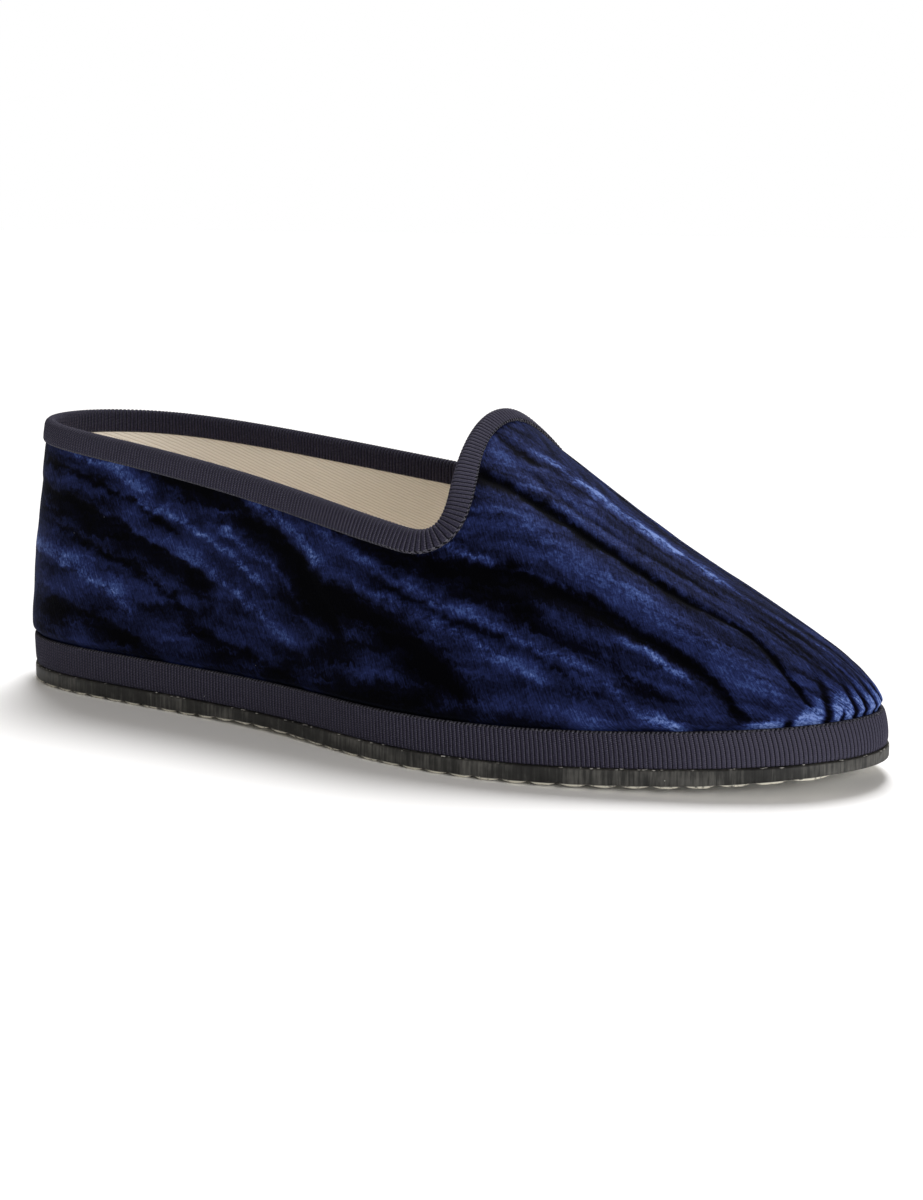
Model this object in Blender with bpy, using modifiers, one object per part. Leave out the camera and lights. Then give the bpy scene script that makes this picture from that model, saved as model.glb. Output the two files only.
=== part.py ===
"""Velvet slipper for the right foot: a flat house shoe with a raised throat.

A lined velvet upper stands on a thin rubber outsole with cross ribs. Grosgrain tape is folded
over the whole collar edge, a wider grosgrain band covers the seam between upper and outsole,
and a twill insole lies inside. The upper is cut from a last: its cross sections give the
form, and two pattern cuts, the collar line and the throat line, give its open edge.

Metres. While it is modelled, x runs from the heel (0) to the toe, -y is the outer side of the
foot and +y the inner side. The parent empty then puts the middle of the box at the origin.
"""

from collections import namedtuple

import bpy
import numpy as np

MM = 0.001

# Driving sizes of the last and the sole
LENGTH = 250 * MM
HEEL_RADIUS = 30 * MM
TOE_RADIUS = 21 * MM
TOE_TURN = 5 * MM
TOE_TURN_START = 0.5
RIDGE_TURN = 1.5 * MM
SOLE_HEIGHT = 4.4 * MM
TOE_SPRING = 3.4 * MM
SPRING_START = 0.63
GAP = 0.3 * MM

# Cross sections of the last, heel to toe: the station as a share of LENGTH, the half-widths
# of its bottom edge on the outer and inner side, and the height of its ridge above that edge.
Section = namedtuple("Section", "station outer inner ridge")
SECTIONS = (
    Section(0.12, 29.5 * MM, 29.5 * MM, 114 * MM),
    Section(0.30, 32.5 * MM, 30.0 * MM, 116 * MM),
    Section(0.46, 37.5 * MM, 32.0 * MM, 107 * MM),
    Section(0.58, 44.0 * MM, 38.5 * MM, 79 * MM),
    Section(0.66, 45.0 * MM, 41.0 * MM, 64.5 * MM),
    Section(0.76, 41.5 * MM, 40.0 * MM, 48.5 * MM),
    Section(0.86, 33.5 * MM, 34.5 * MM, 34.5 * MM),
    Section(0.94, 23.5 * MM, 24.0 * MM, 23 * MM),
)
HEEL_RIDGE = 112 * MM
TOE_RIDGE = 14 * MM
TOE_CAP_LENGTH = 20 * MM
TOE_CAP_POWER = 3

# Back curve of the heel: how far it swells out, and how far it leans in at the collar
HEEL_SWELL = 0.8 * MM
HEEL_SWELL_HEIGHT = 40 * MM
HEEL_SWELL_END = 0.2
HEEL_LEAN = 4 * MM
HEEL_LEAN_HEIGHT = 60 * MM
HEEL_LEAN_END = 0.35

# Pattern cuts: collar heights above the floor, and the throat's place and backward lean
HEEL_COLLAR = 71 * MM
OUTER_COLLAR = 51.5 * MM
INNER_COLLAR = 56.5 * MM
COLLAR_BOW = 0.55
COLLAR_MIDDLE = 3 * MM
COLLAR_CHANGE = 12 * MM
THROAT_STATION = 156 * MM
THROAT_LEAN = 0.23
THROAT_FOOT = 52 * MM
THROAT_CORNER = 11 * MM
HIGHEST_CUT = 110 * MM

# Rays that carry the upper's columns run from a spine inside the last to its bottom edge
SPINE_START = 35 * MM
SPINE_SHARE = 0.35
SPINE_INNER = 3 * MM
FORE_START = 0.3
FORE_END = 0.6
RAY_REACH = 1.15
COLUMNS = 112
UPPER_ROWS = 11
ROW_CROWDING = 1.35
FINE_COLUMNS = 3
FINE_ROWS = 60
OUTLINE_POINTS = 360
SOLVER_STEPS = 30

# Thicknesses and widths of the cloth pieces
WALL = 1.8 * MM
TAPE = 0.7 * MM
TAPE_WIDTH = 5.3 * MM
BAND_HEIGHT = 8.4 * MM
BAND_THICKNESS = 1.1 * MM
BAND_LIP = 0.2 * MM
BAND_SHOULDER = 1.6 * MM
INSOLE_THICKNESS = 2.6 * MM
INSOLE_GAP = 0.6 * MM

# Cross ribs under the outsole
RIB_PITCH = 6.7 * MM
RIB_HEIGHT = 1.0 * MM
RIB_FLANK = 0.9 * MM
RIB_FACE = 3.6 * MM
FIRST_RIB = 4.6 * MM
RIBLESS_TOE = 4.5 * MM
ARCH_LIFT = 0.8 * MM
ARCH_START = 0.27
ARCH_END = 0.53
END_STEPS = (0.05 * MM, 0.9 * MM, 2.2 * MM, 4.0 * MM)

VELVET_BLUE = (0.008, 0.013, 0.055)
TAPE_NAVY = (0.012, 0.012, 0.020)
TWILL_BEIGE = (0.55, 0.40, 0.25)
RUBBER_BLACK = (0.022, 0.023, 0.022)


def smooth(stations, values, at):
    """Natural cubic curve through the rows of a table."""
    x, y = np.array(stations), np.array(values)
    step = np.diff(x)
    rows = np.diag(np.r_[1, 2 * (step[:-1] + step[1:]), 1])
    rows += np.diag(np.r_[step[:-1], 0], -1) + np.diag(np.r_[0, step[1:]], 1)
    bend = np.linalg.solve(rows, np.r_[0, 6 * np.diff(np.diff(y) / step), 0])
    i = np.clip(np.searchsorted(x, at) - 1, 0, len(step) - 1)
    left, right, width = at - x[i], x[i + 1] - at, step[i]
    curved = (bend[i] * right**3 + bend[i + 1] * left**3) / (6 * width)
    straight = (y[i] / width - bend[i] * width / 6) * right
    return curved + straight + (y[i + 1] / width - bend[i + 1] * width / 6) * left


def ramp(value, start, end):
    """Straight rise from 0 at start to 1 at end, level outside."""
    return np.clip((value - start) / (end - start), 0, 1)


def bisect(holds, low, high):
    """The largest value between low and high, element by element, for which holds is true."""
    for _ in range(SOLVER_STEPS):
        middle = (low + high) / 2
        held = holds(middle)
        low, high = np.where(held, middle, low), np.where(held, high, middle)
    return low


def half_width(station, side):
    """Half-width of the last's bottom edge. Both ends are round, with the radii given."""
    share = np.clip(station, 0, 1)
    stations = [0, *(row.station for row in SECTIONS), 1]
    roundness = 2 * np.sqrt(share * (1 - share))
    widths = []
    for column in ("outer", "inner"):
        scaled = [
            getattr(row, column) / (2 * np.sqrt(row.station * (1 - row.station)))
            for row in SECTIONS
        ]
        ends = [np.sqrt(radius * LENGTH / 2) for radius in (HEEL_RADIUS, TOE_RADIUS)]
        widths.append(smooth(stations, [ends[0], *scaled, ends[1]], share))
    return roundness * np.where(side < 0, *widths)


def centre_line(station):
    """Sideways turn of the last's middle towards the inner side at the toe."""
    return TOE_TURN * ramp(station, TOE_TURN_START, 1) ** 2


def sole_top(station):
    """Height of the outsole's upper face: level, then rising with the toe spring."""
    return SOLE_HEIGHT + TOE_SPRING * ramp(station, SPRING_START, 1) ** 2


def ridge_height(station):
    """Height of the last's ridge above its bottom edge, rounded off over the toe."""
    share = np.clip(station, 0, 1)
    stations = [0, *(row.station for row in SECTIONS), 1]
    heights = [HEEL_RIDGE, *(row.ridge for row in SECTIONS), TOE_RIDGE]
    toe = ramp(share * LENGTH, LENGTH - TOE_CAP_LENGTH, LENGTH)
    cap = (1 - toe**TOE_CAP_POWER) ** (1 / TOE_CAP_POWER)
    return smooth(stations, heights, share) * cap


def heel_back(station, height):
    """Forward shift of the sections near the heel, which gives the back its curve."""
    lean = HEEL_LEAN * (height / HEEL_LEAN_HEIGHT) ** 2
    lean *= ramp(station, HEEL_LEAN_END, 0) ** 2
    swell = HEEL_SWELL * np.sin(np.pi * np.clip(height / HEEL_SWELL_HEIGHT, 0, 1))
    return lean - swell * ramp(station, HEEL_SWELL_END, 0)


def in_last(x, y, z):
    """True inside the last: each section is a half ellipse between bottom edge and ridge."""
    station = np.clip(x / LENGTH, 0, 1)
    height = np.maximum(z - sole_top(station), 0)
    ridge = np.maximum(ridge_height(station), GAP / 10)
    rise = np.clip(height / ridge, 0, 1)
    shifted = (x - heel_back(station, height)) / LENGTH
    turn = RIDGE_TURN * rise**1.5 * ramp(station, FORE_START, FORE_END)
    middle = centre_line(station) + turn
    width = half_width(shifted, np.sign(y - middle)) * np.sqrt(1 - rise**2)
    return (np.abs(y - middle) < width) & (height < ridge) & (shifted > 0) & (shifted < 1)


def outline(count):
    """Plan of the bottom edge: stations and points, from the heel along the outer side."""
    turn = np.arange(count) / count
    station = (1 - np.cos(2 * np.pi * turn)) / 2
    side = np.where(turn <= 0.5, -1, 1)
    edge = centre_line(station) + side * half_width(station, side)
    return station, np.stack([station * LENGTH, edge], axis=-1)


def plan_normals(points):
    """Outward directions of a closed plan outline."""
    along = np.roll(points, -1, axis=0) - np.roll(points, 1, axis=0)
    across = np.stack([along[:, 1], -along[:, 0]], axis=-1)
    return across / np.linalg.norm(across, axis=1, keepdims=True)


def on_last(heights):
    """Points of the last at the given heights, one row of heights for each column."""
    station, foot = outline(len(heights))
    start = SPINE_START + SPINE_SHARE * np.maximum(foot[:, 0] - SPINE_START, 0)
    spine = np.stack([start, SPINE_INNER * ramp(station, FORE_START, FORE_END)], axis=-1)
    reach = (foot - spine)[:, None]

    def along(share):
        return spine[:, None] + reach * share[..., None]

    low = np.zeros_like(heights)
    share = bisect(
        lambda r: in_last(along(r)[..., 0], along(r)[..., 1], heights), low, low + RAY_REACH
    )
    return np.concatenate([along(share), heights[..., None]], axis=-1)


def below_cuts(x, y, z):
    """True where the pattern keeps cloth: under the collar line or in front of the throat."""
    inner = 0.5 + 0.5 * np.tanh((y - COLLAR_MIDDLE) / COLLAR_CHANGE)
    low = OUTER_COLLAR + (INNER_COLLAR - OUTER_COLLAR) * inner
    back = ramp(x, THROAT_STATION, 0)
    collar = low + (HEEL_COLLAR - low) * ((1 + COLLAR_BOW) * back - COLLAR_BOW * back**2)
    under = collar - z
    ahead = x - (THROAT_STATION - THROAT_LEAN * (z - THROAT_FOOT))
    mix = np.clip(0.5 + 0.5 * (under - ahead) / THROAT_CORNER, 0, 1)
    return ahead + (under - ahead) * mix + THROAT_CORNER * mix * (1 - mix) > 0


def collar_heights(count):
    """Height of the upper's open edge on each column."""
    station, _ = outline(count)

    def kept(height):
        points = on_last(height[:, None])[:, 0]
        return below_cuts(*points.T)

    return bisect(kept, sole_top(station) + BAND_HEIGHT, np.full(count, HIGHEST_CUT))


def upper_surface(count, rows):
    """Outer face of the upper, columns by rows. Its lowest rows are set in under the band."""
    station, foot = outline(count)
    bottom, top = sole_top(station), collar_heights(count)
    band_top = BAND_HEIGHT + BAND_LIP
    tucked = np.array([GAP, band_top / 2, band_top])
    free = np.linspace(0, 1, rows - len(tucked)) ** ROW_CROWDING
    shoulder = bottom + BAND_HEIGHT + BAND_SHOULDER
    heights = np.concatenate(
        [bottom[:, None] + tucked, shoulder[:, None] + (top - shoulder)[:, None] * free], axis=1
    )
    points = on_last(heights)
    inset = plan_normals(foot)[:, None] * (BAND_THICKNESS + GAP)
    points[:, : len(tucked), :2] -= inset
    return points


def surface_normals(points):
    """Outward normals of a closed grid of columns by rows."""
    along = np.roll(points, -1, axis=0) - np.roll(points, 1, axis=0)
    normal = np.cross(along, np.gradient(points, axis=1))
    return normal / np.linalg.norm(normal, axis=-1, keepdims=True)


def onto_wall(points, wall, normals):
    """Points moved straight onto a wall, and the wall's normals there."""
    spots, out = wall.reshape(-1, 3), normals.reshape(-1, 3)
    nearest = [np.argmin(np.sum((spots - point) ** 2, axis=1)) for point in points]
    out = out[nearest]
    lift = np.sum((points - spots[nearest]) * out, axis=1, keepdims=True)
    return points - out * lift, out


def new_object(name, mesh, material):
    """A part with its finish, in the slipper's collection and under its empty."""
    part = bpy.data.objects.new(name, mesh)
    mesh.materials.append(material)
    collection.objects.link(part)
    part.parent = middle
    return part


def cloth(name, points, thickness, offset, material):
    """A closed strip of cloth: an open grid of columns by rows, given its thickness."""
    count, rows = points.shape[:2]
    faces = [
        (i * rows + j, (i + 1) % count * rows + j, (i + 1) % count * rows + j + 1, i * rows + j + 1)
        for i in range(count)
        for j in range(rows - 1)
    ]
    mesh = bpy.data.meshes.new(name)
    mesh.from_pydata(points.reshape(-1, 3).tolist(), [], faces)
    mesh.shade_smooth()
    part = new_object(name, mesh, material)
    wall = part.modifiers.new("Wall", "SOLIDIFY")
    wall.thickness = thickness
    wall.offset = offset
    wall.use_even_offset = True
    return part


def slab(name, sections, material):
    """A solid through closed sections that stand across the shoe, with its ends capped."""
    count, corners = sections.shape[:2]
    faces = [
        (i * corners + j, i * corners + k, (i + 1) * corners + k, (i + 1) * corners + j)
        for i in range(count - 1)
        for j, k in zip(range(corners), [*range(1, corners), 0])
    ]
    last = (count - 1) * corners
    faces += [tuple(range(corners))[::-1], tuple(range(last, last + corners))]
    mesh = bpy.data.meshes.new(name)
    mesh.from_pydata(sections.reshape(-1, 3).tolist(), [], faces)
    mesh.set_sharp_from_angle(angle=0.5)
    return new_object(name, mesh, material)


def edges_at(x, margin):
    """Outer and inner side of the bottom edge at x, moved outwards by a margin."""
    _, points = outline(OUTLINE_POINTS)
    moved = points + plan_normals(points) * margin
    half = OUTLINE_POINTS // 2
    outer, inner = moved[: half + 1], np.concatenate([moved[half:], moved[:1]])[::-1]
    return np.interp(x, *outer.T), np.interp(x, *inner.T)


def slab_sections(x, margin, floor, ceiling):
    """Rectangular sections of a slab between two heights, from edge to edge."""
    outer, inner = edges_at(x, margin)
    corners = [(x, outer, floor), (x, inner, floor), (x, inner, ceiling), (x, outer, ceiling)]
    return np.array(corners).transpose(2, 0, 1)


def rib_profile():
    """Stations of the outsole and how far each lies above the ribs' faces."""
    rows = [(x, RIB_HEIGHT) for x in END_STEPS]
    start = FIRST_RIB
    while start + RIB_FLANK + RIB_FACE + RIB_FLANK < LENGTH - RIBLESS_TOE:
        face = start + RIB_FLANK
        rows += [(start, RIB_HEIGHT), (face, 0), (face + RIB_FACE, 0)]
        rows += [(face + RIB_FACE + RIB_FLANK, RIB_HEIGHT)]
        start += RIB_PITCH
    rows += [(LENGTH - x, RIB_HEIGHT) for x in reversed(END_STEPS)]
    return np.array(rows).T


def make_outsole(material):
    """Rubber outsole: cross ribs underneath, a slight arch, and the toe spring."""
    x, relief = rib_profile()
    station = x / LENGTH
    arch = ARCH_LIFT * np.sin(np.pi * ramp(station, ARCH_START, ARCH_END)) ** 2
    floor = sole_top(station) - SOLE_HEIGHT + relief + arch
    return slab("outsole", slab_sections(x, 0, floor, sole_top(station)), material)


def make_insole(material):
    """Twill insole, lying on the outsole inside the upper's lower edge."""
    margin = -(BAND_THICKNESS + GAP + WALL + INSOLE_GAP)
    ends = np.array(END_STEPS)
    middle_steps = np.linspace(9 * MM, LENGTH + 2 * margin - 9 * MM, 24)
    x = np.concatenate([ends, middle_steps, (LENGTH + 2 * margin - ends)[::-1]]) - margin
    floor = sole_top(x / LENGTH) + GAP
    return slab("insole", slab_sections(x, margin, floor, floor + INSOLE_THICKNESS), material)


def make_upper(material):
    """Velvet upper with its lining: one hollow wall, open at the collar and underneath."""
    return cloth("upper", upper_surface(COLUMNS, UPPER_ROWS), WALL, -1, material)


def make_band(material):
    """Grosgrain band round the lower edge, from the outsole up over the upper's margin."""
    station, _ = outline(COLUMNS)
    heights = sole_top(station)[:, None] + np.array([GAP, BAND_HEIGHT / 2, BAND_HEIGHT])
    return cloth("foxing_band", on_last(heights), BAND_THICKNESS, -1, material)


def make_binding(material):
    """Grosgrain tape folded over the collar edge, an outer leg, a round fold and an inner leg."""
    wall = upper_surface(COLUMNS * FINE_COLUMNS, FINE_ROWS)
    normal = surface_normals(wall)
    edge, out = wall[::FINE_COLUMNS, -1], normal[::FINE_COLUMNS, -1]
    along = np.roll(edge, -1, axis=0) - np.roll(edge, 1, axis=0)
    up = np.cross(out, along)
    up /= np.linalg.norm(up, axis=1, keepdims=True)
    clear = GAP + TAPE / 2
    legs = [onto_wall(edge - up * width, wall, normal) for width in (TAPE_WIDTH, TAPE_WIDTH / 2)]
    core = edge - out * WALL / 2
    fold = WALL / 2 + clear
    rows = [spot + side * clear for spot, side in legs]
    rows += [core + (out * np.cos(a) + up * np.sin(a)) * fold for a in np.linspace(0, np.pi, 5)]
    rows += [spot - side * (WALL + clear) for spot, side in reversed(legs)]
    return cloth("collar_binding", np.stack(rows, axis=1), TAPE, 0, material)


def finish(name, colour, roughness):
    """A plain surface finish."""
    material = bpy.data.materials.new(name)
    material.use_nodes = True
    shader = material.node_tree.nodes["Principled BSDF"]
    shader.inputs["Base Color"].default_value = (*colour, 1)
    shader.inputs["Roughness"].default_value = roughness
    shader.inputs["Metallic"].default_value = 0
    return material


for old in list(bpy.data.objects):
    bpy.data.objects.remove(old)

collection = bpy.data.collections.new("velvet_slipper")
bpy.context.scene.collection.children.link(collection)
middle = bpy.data.objects.new("box_middle", None)
collection.objects.link(middle)

grosgrain = finish("navy grosgrain", TAPE_NAVY, 0.8)
twill = finish("beige twill", TWILL_BEIGE, 0.9)
parts = (
    make_outsole(finish("black rubber", RUBBER_BLACK, 0.6)),
    make_insole(twill),
    make_upper(finish("navy velvet", VELVET_BLUE, 0.7)),
    make_band(grosgrain),
    make_binding(grosgrain),
)

# The empty carries the whole slipper so that the middle of its plan lies at the origin.
bpy.context.view_layer.update()
graph = bpy.context.evaluated_depsgraph_get()
corners = np.array([c for part in parts for c in part.evaluated_get(graph).bound_box])
centre = (corners.min(axis=0) + corners.max(axis=0)) / 2
middle.location = (-centre[0], -centre[1], 0)
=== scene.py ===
"""Looks of the velvet slipper: cloth, tape, rubber, floor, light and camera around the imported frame."""

from collections import namedtuple

import bpy
import numpy as np
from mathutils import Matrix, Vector


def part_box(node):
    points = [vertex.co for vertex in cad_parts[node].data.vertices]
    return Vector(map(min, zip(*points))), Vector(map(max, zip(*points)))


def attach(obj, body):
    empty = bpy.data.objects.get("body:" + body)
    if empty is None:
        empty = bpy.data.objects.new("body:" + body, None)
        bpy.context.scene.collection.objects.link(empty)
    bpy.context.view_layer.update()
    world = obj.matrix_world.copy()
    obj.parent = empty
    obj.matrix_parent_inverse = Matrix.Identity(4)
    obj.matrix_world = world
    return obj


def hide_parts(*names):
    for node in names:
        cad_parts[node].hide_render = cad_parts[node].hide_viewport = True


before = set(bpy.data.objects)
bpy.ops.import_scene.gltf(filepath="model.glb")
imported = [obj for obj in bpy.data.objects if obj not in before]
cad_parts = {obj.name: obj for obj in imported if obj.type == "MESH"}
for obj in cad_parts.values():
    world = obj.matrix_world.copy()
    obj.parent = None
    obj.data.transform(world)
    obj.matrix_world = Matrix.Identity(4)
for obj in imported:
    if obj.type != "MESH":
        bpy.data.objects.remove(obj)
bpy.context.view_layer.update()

# Upper: crushed velvet sewn back to back with a cotton twill lining, pulled over the last and
# closed under the foot. The cloth follows the last's cross sections; its creases run from the
# throat to the toe, where they end in short pleats above the band.
MM = 0.001
LENGTH = 250 * MM
HEEL_RADIUS = 30 * MM
TOE_RADIUS = 21 * MM
TOE_TURN = 5 * MM
TOE_TURN_START = 0.5
RIDGE_TURN = 1.5 * MM
SOLE_HEIGHT = 4.4 * MM
TOE_SPRING = 3.4 * MM
SPRING_START = 0.63
GAP = 0.3 * MM
Section = namedtuple("Section", "station outer inner ridge")
SECTIONS = (
    Section(0.12, 29.5 * MM, 29.5 * MM, 114 * MM),
    Section(0.30, 32.5 * MM, 30.0 * MM, 116 * MM),
    Section(0.46, 37.5 * MM, 32.0 * MM, 107 * MM),
    Section(0.58, 44.0 * MM, 38.5 * MM, 79 * MM),
    Section(0.66, 45.0 * MM, 41.0 * MM, 64.5 * MM),
    Section(0.76, 41.5 * MM, 40.0 * MM, 48.5 * MM),
    Section(0.86, 33.5 * MM, 34.5 * MM, 34.5 * MM),
    Section(0.94, 23.5 * MM, 24.0 * MM, 23 * MM),
)
STATIONS = (0, *(row.station for row in SECTIONS), 1)
HEEL_RIDGE = 112 * MM
TOE_RIDGE = 14 * MM
TOE_CAP_LENGTH = 20 * MM
TOE_CAP_POWER = 3
HEEL_SWELL = 0.8 * MM
HEEL_SWELL_HEIGHT = 40 * MM
HEEL_SWELL_END = 0.2
HEEL_LEAN = 4 * MM
HEEL_LEAN_HEIGHT = 60 * MM
HEEL_LEAN_END = 0.35
HEEL_COLLAR = 71 * MM
OUTER_COLLAR = 51.5 * MM
INNER_COLLAR = 56.5 * MM
COLLAR_BOW = 0.55
COLLAR_MIDDLE = 3 * MM
COLLAR_CHANGE = 12 * MM
THROAT_STATION = 156 * MM
THROAT_LEAN = 0.23
THROAT_FOOT = 52 * MM
THROAT_CORNER = 11 * MM
HIGHEST_CUT = 110 * MM
SPINE_START = 35 * MM
SPINE_SHARE = 0.35
SPINE_INNER = 3 * MM
FORE_START = 0.3
FORE_END = 0.6
RAY_REACH = 1.15
SOLVER_STEPS = 24
WALL = 1.8 * MM
BAND_HEIGHT = 8.4 * MM
BAND_THICKNESS = 1.1 * MM


def smooth(stations, values, at):
    """Natural cubic curve through the rows of a table."""
    x, y = np.array(stations), np.array(values)
    step = np.diff(x)
    rows = np.diag(np.r_[1, 2 * (step[:-1] + step[1:]), 1])
    rows += np.diag(np.r_[step[:-1], 0], -1) + np.diag(np.r_[0, step[1:]], 1)
    bend = np.linalg.solve(rows, np.r_[0, 6 * np.diff(np.diff(y) / step), 0])
    i = np.clip(np.searchsorted(x, at) - 1, 0, len(step) - 1)
    left, right, width = at - x[i], x[i + 1] - at, step[i]
    curved = (bend[i] * right**3 + bend[i + 1] * left**3) / (6 * width)
    straight = (y[i] / width - bend[i] * width / 6) * right
    return curved + straight + (y[i + 1] / width - bend[i + 1] * width / 6) * left


def ramp(value, start, end):
    """Straight rise from 0 at start to 1 at end, level outside."""
    return np.clip((value - start) / (end - start), 0, 1)


def ease(value, start, end):
    """Soft rise from 0 at start to 1 at end: three times the square less twice the cube."""
    share = ramp(value, start, end)
    return share * share * (3 - 2 * share)


def bisect(holds, low, high):
    """The largest value between low and high, element by element, for which holds is true."""
    for _ in range(SOLVER_STEPS):
        middle = (low + high) / 2
        held = holds(middle)
        low, high = np.where(held, middle, low), np.where(held, high, middle)
    return low


def half_width(station, side):
    """Half-width of the last's bottom edge: the table's curve times a round end at heel and toe."""
    share = np.clip(station, 0, 1)
    ends = [np.sqrt(radius * LENGTH / 2) for radius in (HEEL_RADIUS, TOE_RADIUS)]
    widths = []
    for column in ("outer", "inner"):
        scaled = [
            getattr(row, column) / (2 * np.sqrt(row.station * (1 - row.station)))
            for row in SECTIONS
        ]
        widths.append(smooth(STATIONS, [ends[0], *scaled, ends[1]], share))
    return 2 * np.sqrt(share * (1 - share)) * np.where(side < 0, *widths)


def centre_line(station):
    """Sideways turn of the last's middle towards the inner side at the toe, growing as a square."""
    return TOE_TURN * ramp(station, TOE_TURN_START, 1) ** 2


def sole_top(station):
    """Height of the outsole's upper face: level, then rising as a square with the toe spring."""
    return SOLE_HEIGHT + TOE_SPRING * ramp(station, SPRING_START, 1) ** 2


def ridge_height(station):
    """Height of the last's ridge above its bottom edge, rounded off over the toe."""
    share = np.clip(station, 0, 1)
    heights = [HEEL_RIDGE, *(row.ridge for row in SECTIONS), TOE_RIDGE]
    toe = ramp(share * LENGTH, LENGTH - TOE_CAP_LENGTH, LENGTH)
    return smooth(STATIONS, heights, share) * (1 - toe**TOE_CAP_POWER) ** (1 / TOE_CAP_POWER)


def heel_back(station, height):
    """Forward shift of the sections near the heel: a lean in at the top less a swell lower down."""
    lean = HEEL_LEAN * (height / HEEL_LEAN_HEIGHT) ** 2 * ramp(station, HEEL_LEAN_END, 0) ** 2
    swell = HEEL_SWELL * np.sin(np.pi * np.clip(height / HEEL_SWELL_HEIGHT, 0, 1))
    return lean - swell * ramp(station, HEEL_SWELL_END, 0)


def section_at(x, z):
    """Station, height, rise as a share of the ridge, and middle of the section at x and z."""
    station = np.clip(x / LENGTH, 0, 1)
    height = np.maximum(z - sole_top(station), 0)
    rise = np.clip(height / np.maximum(ridge_height(station), GAP / 10), 0, 1)
    turn = RIDGE_TURN * rise**1.5 * ramp(station, FORE_START, FORE_END)
    return station, height, rise, centre_line(station) + turn


def in_last(x, y, z):
    """True inside the last: each section is a half ellipse between bottom edge and ridge."""
    station, height, rise, middle = section_at(x, z)
    shifted = (x - heel_back(station, height)) / LENGTH
    width = half_width(shifted, np.sign(y - middle)) * np.sqrt(1 - rise**2)
    return (np.abs(y - middle) < width) & (rise < 1) & (shifted > 0) & (shifted < 1)


def outline(count):
    """Plan of the bottom edge: stations and points, from the heel along the outer side."""
    turn = np.arange(count) / count
    station = (1 - np.cos(2 * np.pi * turn)) / 2
    side = np.where(turn <= 0.5, -1, 1)
    edge = centre_line(station) + side * half_width(station, side)
    return station, np.stack([station * LENGTH, edge], axis=-1)


def plan_normals(points):
    """Outward directions of a closed plan outline: its tangent turned by a right angle."""
    along = np.roll(points, -1, axis=0) - np.roll(points, 1, axis=0)
    across = np.stack([along[:, 1], -along[:, 0]], axis=-1)
    return across / np.linalg.norm(across, axis=1, keepdims=True)


def on_last(heights):
    """Points of the last at the given heights: rays from its spine, stopped at its surface."""
    station, foot = outline(len(heights))
    start = SPINE_START + SPINE_SHARE * np.maximum(foot[:, 0] - SPINE_START, 0)
    spine = np.stack([start, SPINE_INNER * ramp(station, FORE_START, FORE_END)], axis=-1)
    reach = (foot - spine)[:, None]

    def along(share):
        return spine[:, None] + reach * share[..., None]

    low = np.zeros_like(heights)
    share = bisect(
        lambda r: in_last(*np.moveaxis(along(r), -1, 0), heights), low, low + RAY_REACH
    )
    return np.concatenate([along(share), heights[..., None]], axis=-1)


def below_cuts(x, y, z):
    """True where the pattern keeps cloth: under the collar line or in front of the throat."""
    inner = 0.5 + 0.5 * np.tanh((y - COLLAR_MIDDLE) / COLLAR_CHANGE)
    low = OUTER_COLLAR + (INNER_COLLAR - OUTER_COLLAR) * inner
    back = ramp(x, THROAT_STATION, 0)
    collar = low + (HEEL_COLLAR - low) * ((1 + COLLAR_BOW) * back - COLLAR_BOW * back**2)
    under = collar - z
    ahead = x - (THROAT_STATION - THROAT_LEAN * (z - THROAT_FOOT))
    mix = np.clip(0.5 + 0.5 * (under - ahead) / THROAT_CORNER, 0, 1)
    return ahead + (under - ahead) * mix + THROAT_CORNER * mix * (1 - mix) > 0


def collar_heights(count):
    """Height of the upper's open edge on each column."""
    station, _ = outline(count)
    return bisect(
        lambda height: below_cuts(*on_last(height[:, None])[:, 0].T),
        sole_top(station) + BAND_HEIGHT,
        np.full(count, HIGHEST_CUT),
    )


def surface_normals(points):
    """Outward normals of a grid of closed columns by rows: tangent along times tangent up."""
    along = np.roll(points, -1, axis=0) - np.roll(points, 1, axis=0)
    normal = np.cross(along, np.gradient(points, axis=1))
    return normal / np.linalg.norm(normal, axis=-1, keepdims=True)


def value_noise(points, seed):
    """Soft noise from -1 to 1: hashed values on a unit lattice, eased between its corners."""
    cell = np.floor(points).astype(np.int64)
    share = points - cell
    share = share * share * (3 - 2 * share)
    total = 0
    for corner in np.ndindex(2, 2, 2):
        spot = cell + np.array(corner)
        key = spot @ np.array([374761393, 668265263, 2147483647]) + seed * 974634777
        key = (key ^ (key >> 13)) * 1274126177 & 0xFFFFFFFF
        weight = np.prod(np.where(np.array(corner), share, 1 - share), axis=-1)
        total = total + weight * ((key ^ (key >> 16)) & 0xFFFF) / 0xFFFF
    return total * 2 - 1


def plain_mesh(name, points, faces, materials, uv=None, material_index=None, **attributes):
    """A piece from arrays: vertices, faces, a UV pair for each face corner, and vertex values."""
    mesh = bpy.data.meshes.new(name)
    mesh.from_pydata(points.reshape(-1, 3), [], faces)
    if uv is not None:
        layer = mesh.uv_layers.new(name="cloth")
        layer.data.foreach_set("uv", uv.reshape(-1).astype(np.float32))
    for material in materials:
        mesh.materials.append(material)
    if material_index is not None:
        mesh.polygons.foreach_set("material_index", material_index.astype(np.int32))
    for label, values in attributes.items():
        layer = mesh.attributes.new(label, "FLOAT", "POINT")
        layer.data.foreach_set("value", values.reshape(-1).astype(np.float32))
    mesh.shade_smooth()
    mesh.update()
    piece = bpy.data.objects.new(name, mesh)
    bpy.context.scene.collection.objects.link(piece)
    return piece


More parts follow.
